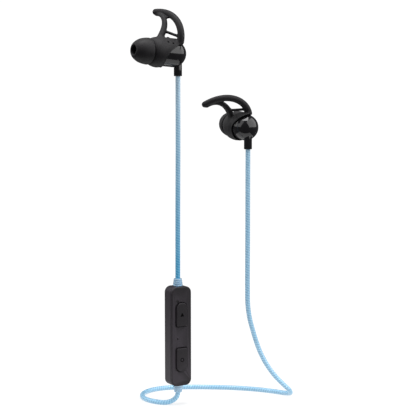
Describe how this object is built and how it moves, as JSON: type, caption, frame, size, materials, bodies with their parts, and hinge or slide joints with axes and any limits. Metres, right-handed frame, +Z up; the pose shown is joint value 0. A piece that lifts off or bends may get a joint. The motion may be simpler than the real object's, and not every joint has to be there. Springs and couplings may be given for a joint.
{
  "type": "neckband earphones",
  "caption": "Corded in-ear earphones with silicone ear fins and tips and an in-line control box with press buttons and a covered charging socket.",
  "frame": {"origin": "mouth of the left ear tip, where the wearer's ear holds the set", "axes": "+Z up along the hanging cords; +X from the left bud towards the right bud; +Y away from the side that the control box's buttons face"},
  "size_m": [0.0838, 0.0544, 0.2055],
  "materials": {
    "gloss_black": "polished black moulding",
    "silicone": "matte black silicone",
    "box_plastic": "fine matte charcoal moulding",
    "cord_jacket": "clear sky-blue jacket over twisted cores",
    "relief_plastic": "clear sky-blue moulding",
    "steel": "plain metal",
    "board": "green solder mask",
    "chip": "black moulding",
    "pouch": "laminated foil",
    "film": "thin film",
    "lens": "clear light pipe"
  },
  "bodies": {
    "headset": {"left_back_shell": "gloss_black", "left_front_shell": "gloss_black", "left_nozzle_mesh": "steel", "left_driver_frame": "steel", "left_driver_magnet": "steel", "left_diaphragm": "film", "left_strain_relief": "gloss_black", "right_back_shell": "gloss_black", "right_front_shell": "gloss_black", "right_nozzle_mesh": "steel", "right_driver_frame": "steel", "right_driver_magnet": "steel", "right_diaphragm": "film", "right_strain_relief": "gloss_black", "front_cover": "box_plastic", "rear_cover": "box_plastic", "upper_switch": "steel", "lower_switch": "steel", "circuit_board": "board", "radio_chip": "chip", "battery": "pouch", "status_light": "lens", "microphone": "steel", "charging_socket": "steel", "top_strain_relief": "relief_plastic", "bottom_strain_relief": "relief_plastic", "cord_left": "cord_jacket", "cord_right": "cord_jacket"},
    "left_ear_fin": {"left_ear_fin": "silicone"},
    "left_ear_tip": {"left_ear_tip": "silicone"},
    "right_ear_fin": {"right_ear_fin": "silicone"},
    "right_ear_tip": {"right_ear_tip": "silicone"},
    "upper_button": {"upper_button": "box_plastic"},
    "lower_button": {"lower_button": "box_plastic"},
    "port_cover": {"port_cover": "silicone"}
  },
  "joints": [
    {"name": "left_fin_turn", "type": "hinge", "parent": "headset", "child": "left_ear_fin", "pos_m": [0.01912, 0.01339, -0.00163], "axis": [-0.8172, -0.5722, 0.0698], "range_deg": [-30, 30]},
    {"name": "left_tip_pull", "type": "slide", "parent": "headset", "child": "left_ear_tip", "axis": [-0.8172, -0.5722, 0.0698], "range_m": [0, 0.0065]},
    {"name": "right_fin_turn", "type": "hinge", "parent": "headset", "child": "right_ear_fin", "pos_m": [0.0565, 0.02898, -0.03943], "axis": [-0.4216, 0.9041, 0.0698], "range_deg": [-30, 30]},
    {"name": "right_tip_pull", "type": "slide", "parent": "headset", "child": "right_ear_tip", "axis": [-0.4216, 0.9041, 0.0698], "range_m": [0, 0.0065]},
    {"name": "upper_button_press", "type": "slide", "parent": "headset", "child": "upper_button", "axis": [-0.515, 0.8572, 0], "range_m": [0, 0.00025], "stiffness_N_per_m": 4000},
    {"name": "lower_button_press", "type": "slide", "parent": "headset", "child": "lower_button", "axis": [-0.515, 0.8572, 0], "range_m": [0, 0.00025], "stiffness_N_per_m": 4000},
    {"name": "port_cover_swing", "type": "hinge", "parent": "headset", "child": "port_cover", "pos_m": [0.02578, 0.01832, -0.15208], "axis": [-0.515, 0.8572, 0], "range_deg": [0, 100]}
  ]
}
